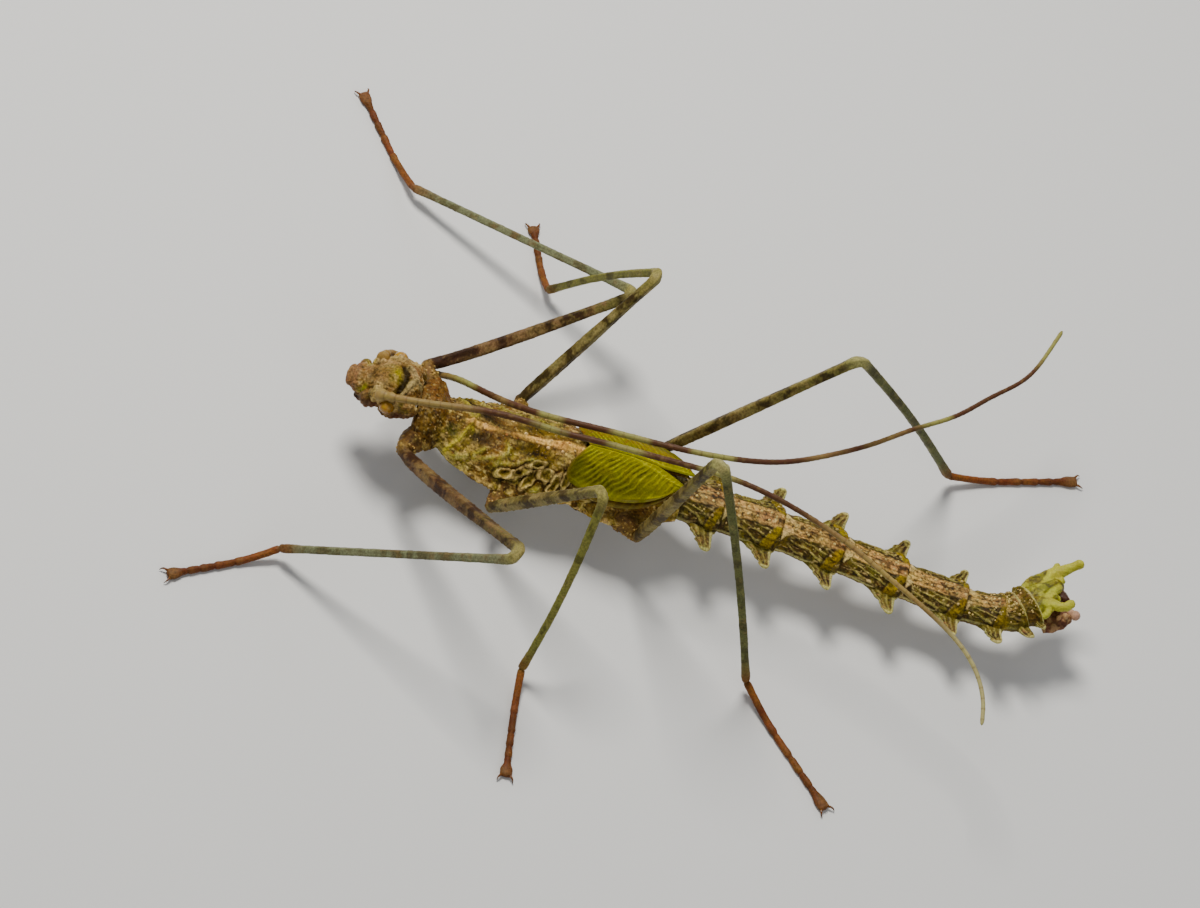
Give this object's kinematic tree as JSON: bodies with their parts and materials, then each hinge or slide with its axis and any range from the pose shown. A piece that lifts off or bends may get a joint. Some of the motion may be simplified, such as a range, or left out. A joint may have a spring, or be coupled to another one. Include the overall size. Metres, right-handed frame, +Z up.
{
  "type": "giant stick insect",
  "caption": "Standing stick insect with long bent legs, swept-back feelers, short folded leaf-green wings and a brown segmented body edged with leaf-like lobes, as a still life-size model.",
  "frame": {"origin": "centre of the bounding box on the floor the feet stand on", "axes": "+X runs from the head to the tail, +Y to the insect's right side, +Z up"},
  "size_m": [0.1158, 0.0984, 0.0402],
  "materials": {
    "bark_skin": "dry, finely grained brown skin with green and pink-tan markings",
    "olive_skin": "dark olive-brown skin with a pink-tan middle band, pale beads and ochre patches",
    "leaf_green": "yellow-green, veined, slightly waxy",
    "wing_brown": "brown folded wing skin",
    "feeler": "banded dark red-brown and pale green",
    "russet_skin": "granular red-brown skin",
    "foot_russet": "orange-brown skin",
    "leg_olive": "olive skin with dark brown bands",
    "eye": "glossy amber"
  },
  "bodies": {
    "root": {"abdomen_1": "olive_skin", "abdomen_2": "olive_skin", "abdomen_3": "olive_skin", "abdomen_4": "olive_skin", "abdomen_5": "olive_skin", "abdomen_6": "olive_skin", "abdomen_7": "olive_skin", "abdomen_8": "olive_skin", "head": "bark_skin", "left_antenna_base": "feeler", "left_antenna_far": "feeler", "left_antenna_middle": "feeler", "left_antenna_near": "feeler", "left_clasper": "leaf_green", "left_eye": "eye", "left_forewing": "leaf_green", "left_front_coxa": "russet_skin", "left_front_femur": "leg_olive", "left_front_tarsus": "foot_russet", "left_front_tibia": "leg_olive", "left_hind_coxa": "russet_skin", "left_hind_femur": "leg_olive", "left_hind_tarsus": "foot_russet", "left_hind_tibia": "leg_olive", "left_hindwing": "wing_brown", "left_middle_coxa": "russet_skin", "left_middle_femur": "leg_olive", "left_middle_tarsus": "foot_russet", "left_middle_tibia": "leg_olive", "mesothorax": "bark_skin", "metathorax": "bark_skin", "prothorax": "bark_skin", "right_antenna_base": "feeler", "right_antenna_far": "feeler", "right_antenna_middle": "feeler", "right_antenna_near": "feeler", "right_clasper": "leaf_green", "right_eye": "eye", "right_forewing": "leaf_green", "right_front_coxa": "russet_skin", "right_front_femur": "leg_olive", "right_front_tarsus": "foot_russet", "right_front_tibia": "leg_olive", "right_hind_coxa": "russet_skin", "right_hind_femur": "leg_olive", "right_hind_tarsus": "foot_russet", "right_hind_tibia": "leg_olive", "right_hindwing": "wing_brown", "right_middle_coxa": "russet_skin", "right_middle_femur": "leg_olive", "right_middle_tarsus": "foot_russet", "right_middle_tibia": "leg_olive", "tail_end": "leaf_green", "underside_plate": "russet_skin"}
  },
  "joints": []
}
